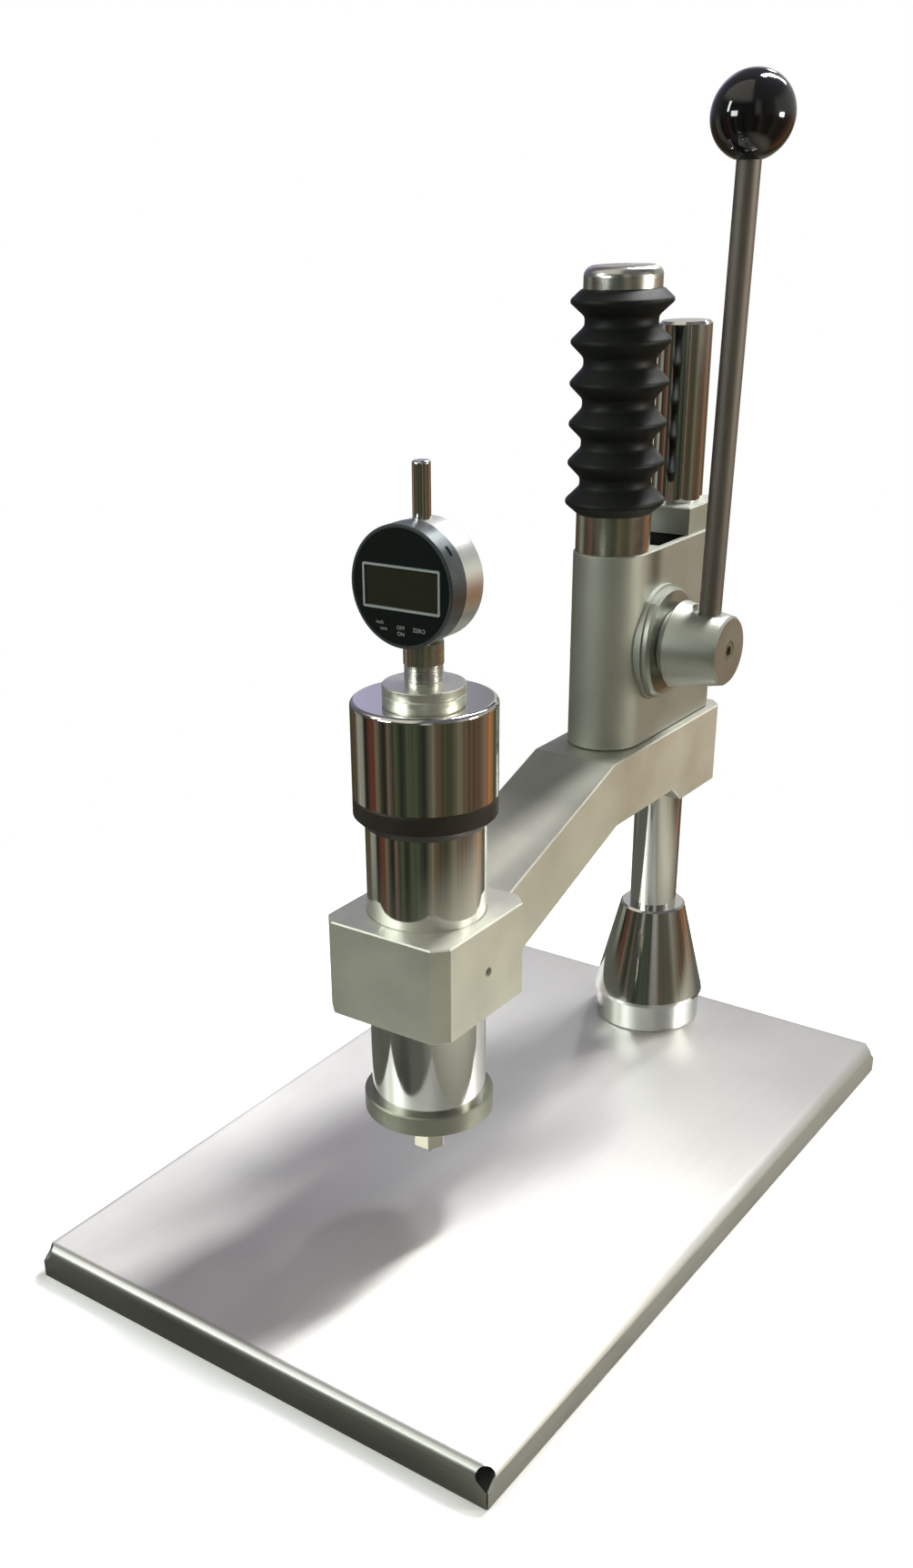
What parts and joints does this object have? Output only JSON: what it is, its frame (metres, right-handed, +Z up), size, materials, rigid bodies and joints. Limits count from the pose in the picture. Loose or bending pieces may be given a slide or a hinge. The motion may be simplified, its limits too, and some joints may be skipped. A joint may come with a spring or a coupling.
{
  "type": "bench durometer",
  "caption": "Bench durometer: hand lever, rack-driven ram with bellows, cranked arm and measuring head with digital indicator, over a folded base plate.",
  "frame": {"origin": "centre of the base's footprint, on the surface it stands on", "axes": "+X to the lever side, +Y to the back, +Z up; the indicator faces -Y"},
  "size_m": [0.281, 0.45, 0.5612],
  "materials": {
    "stainless_sheet": "brushed, grain along the long side",
    "chrome_plate": "polished",
    "satin_steel": "bead-blasted, satin",
    "bright_steel": "turned, satin",
    "dark_steel": "blackened, satin",
    "rod_steel": "drawn, satin",
    "bronze": "plain bush",
    "spring_steel": "drawn wire",
    "black_rubber": "matt",
    "black_knob": "polished",
    "indicator_front": "gloss film",
    "indicator_rim": "satin",
    "indicator_silver": "satin",
    "lcd": "dark, switched off",
    "board": "circuit board"
  },
  "bodies": {
    "stand": {"base_plate": "stainless_sheet", "backing_plate": "satin_steel", "column_bolt": "bright_steel", "column_foot": "chrome_plate", "column": "chrome_plate", "housing": "satin_steel", "housing_screws": "dark_steel", "bearing_flange": "satin_steel", "pinion_bushes": "bronze", "bearing_cap": "satin_steel", "cap_screws": "dark_steel", "ram_bushes": "bronze", "bellows_tube": "bright_steel", "bellows": "black_rubber", "return_spring": "spring_steel"},
    "lever": {"pinion_shaft": "bright_steel", "lever_hub": "satin_steel", "hub_screw": "bright_steel", "lever_rod": "rod_steel", "ball_knob": "black_knob"},
    "carriage": {"ram": "bright_steel", "bellows_cap": "bright_steel", "ram_screw": "dark_steel", "arm": "satin_steel", "column_bush": "bronze", "head_screw": "bright_steel", "head_tube": "chrome_plate", "tube_cap": "chrome_plate", "lock_ring": "dark_steel", "pressure_foot": "bright_steel", "guide_bush": "bronze", "spring_adjuster": "bright_steel", "head_spring": "spring_steel", "lower_disc": "bright_steel", "upper_disc": "bright_steel", "collet": "bright_steel", "clamp_nut": "bright_steel", "indicator_stem": "bright_steel", "indicator_case": "indicator_silver", "back_cover": "indicator_silver", "bezel": "indicator_rim", "face": "indicator_front", "lcd_frame": "indicator_silver", "lcd_glass": "lcd", "circuit_board": "board", "spindle_cover": "chrome_plate"},
    "indenter": {"hex_holder": "bronze", "indenter_pin": "bright_steel", "plunger": "bright_steel", "indicator_spindle": "bright_steel"},
    "mode_button": {"mode_key": "indicator_front"},
    "power_button": {"power_key": "indicator_front"},
    "zero_button": {"zero_key": "indicator_front"}
  },
  "joints": [
    {"name": "lever_turn", "type": "hinge", "parent": "stand", "child": "lever", "pos_m": [0.0505, 0.131, 0.284], "axis": [1, 0, 0], "range_deg": [0, 105]},
    {"name": "ram_slide", "type": "slide", "parent": "stand", "child": "carriage", "axis": [0, 0, -1], "range_m": [0, 0.0219], "stiffness_N_per_m": 2500, "springref_m": -0.07, "deforming": ["bellows", "return_spring"]},
    {"name": "indenter_lift", "type": "slide", "parent": "carriage", "child": "indenter", "axis": [0, 0, 1], "range_m": [0, 0.005], "stiffness_N_per_m": 800, "springref_m": -0.01, "deforming": ["head_spring"]},
    {"name": "mode_press", "type": "slide", "parent": "carriage", "child": "mode_button", "axis": [0, 1, 0], "range_m": [0, 0.0004], "stiffness_N_per_m": 400, "springref_m": -0.001},
    {"name": "power_press", "type": "slide", "parent": "carriage", "child": "power_button", "axis": [0, 1, 0], "range_m": [0, 0.0004], "stiffness_N_per_m": 400, "springref_m": -0.001},
    {"name": "zero_press", "type": "slide", "parent": "carriage", "child": "zero_button", "axis": [0, 1, 0], "range_m": [0, 0.0004], "stiffness_N_per_m": 400, "springref_m": -0.001}
  ],
  "couplings": [
    {"joint": "lever_turn", "follows": "ram_slide", "rad_per_m": 83.333}
  ]
}
